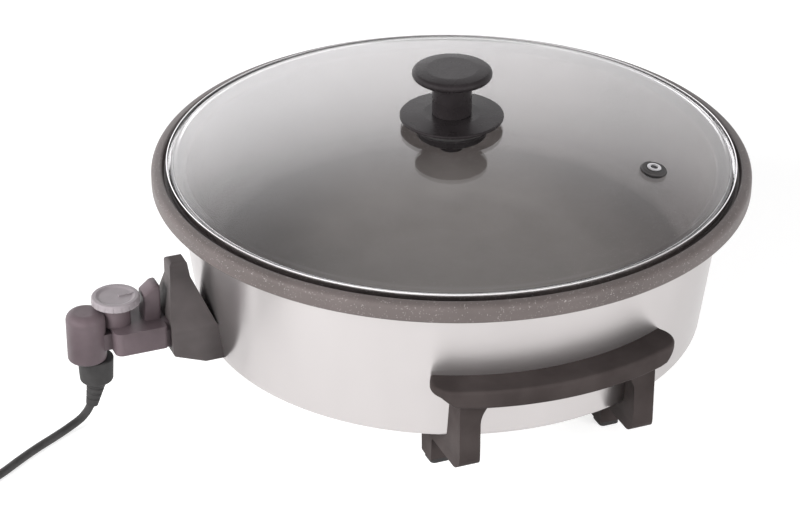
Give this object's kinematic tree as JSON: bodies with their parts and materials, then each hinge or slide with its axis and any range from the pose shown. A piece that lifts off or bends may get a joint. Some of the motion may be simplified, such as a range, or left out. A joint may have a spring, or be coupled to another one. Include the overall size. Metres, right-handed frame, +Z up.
{
  "type": "electric pizza maker",
  "caption": "Round countertop electric pizza pan with a non-stick bowl, a lift-off domed glass lid, side carrying handles on legs and a pull-out thermostat cord with a heat dial.",
  "frame": {"origin": "the pan's vertical axis where it meets the table the feet stand on", "axes": "+Z up along the pan's axis; +X through one carrying handle and -X through the other; -Y towards the thermostat socket and its cord"},
  "size_m": [0.41, 0.7466, 0.2185],
  "materials": {
    "non_stick": "cast, under a satin dark non-stick coating",
    "shell_enamel": "glossy pearl-white enamel",
    "base_metal": "satin light grey paint",
    "aluminium": "as cast",
    "element_steel": "heat-darkened",
    "bright_steel": "bright sheet",
    "ceramic": "glazed ceramic",
    "black_plastic": "fine matt black",
    "rubber": "matt",
    "glass": "clear tempered",
    "polished_steel": "polished",
    "silicone": "satin silicone",
    "knob_plastic": "glossy black",
    "grey_plastic": "satin dark grey",
    "dial_plastic": "satin light grey",
    "lamp": "clear red",
    "brass": "plain",
    "nickel": "nickel plated",
    "cord": "matt black sheath"
  },
  "bodies": {
    "pan": {"pan_bowl": "non_stick", "outer_shell": "shell_enamel", "base_cover": "base_metal", "base_posts": "bright_steel", "heat_plate": "aluminium", "heating_element": "element_steel", "element_clamps": "bright_steel", "clamp_screws": "bright_steel", "terminal_pins": "nickel", "terminal_insulators": "ceramic", "sensor_guide": "bright_steel", "heat_shield": "bright_steel", "foot_pads": "rubber", "foot_screws": "bright_steel", "socket_shroud": "black_plastic", "handle_right": "black_plastic", "handle_left": "black_plastic"},
    "lid": {"lid_glass": "glass", "lid_rim_band": "polished_steel", "lid_knob": "knob_plastic", "knob_skirt": "knob_plastic", "knob_seals": "silicone", "knob_boss": "knob_plastic", "knob_screw": "bright_steel", "vent_grommet": "silicone", "vent_eyelet": "polished_steel"},
    "connector": {"housing_upper": "grey_plastic", "housing_lower": "grey_plastic", "housing_screws": "bright_steel", "contact_tubes": "brass", "sensor_rod": "bright_steel", "switch_block": "ceramic", "pilot_lamp": "lamp", "strain_relief": "rubber", "power_cord": "cord", "cord_coil": "cord", "cord_tail": "cord", "plug_body": "black_plastic", "plug_pins": "nickel", "plug_earth_clips": "nickel"},
    "dial": {"dial": "dial_plastic", "dial_spindle": "bright_steel"}
  },
  "joints": [
    {"name": "lid_lift", "type": "slide", "parent": "pan", "child": "lid", "axis": [0, 0, 1], "range_m": [0, 0.1]},
    {"name": "connector_pull", "type": "slide", "parent": "pan", "child": "connector", "axis": [0, -1, 0], "range_m": [0, 0.1]},
    {"name": "dial_turn", "type": "hinge", "parent": "connector", "child": "dial", "pos_m": [0, -0.242, 0.0889], "axis": [0, 0, -1], "range_deg": [0, 270]}
  ]
}
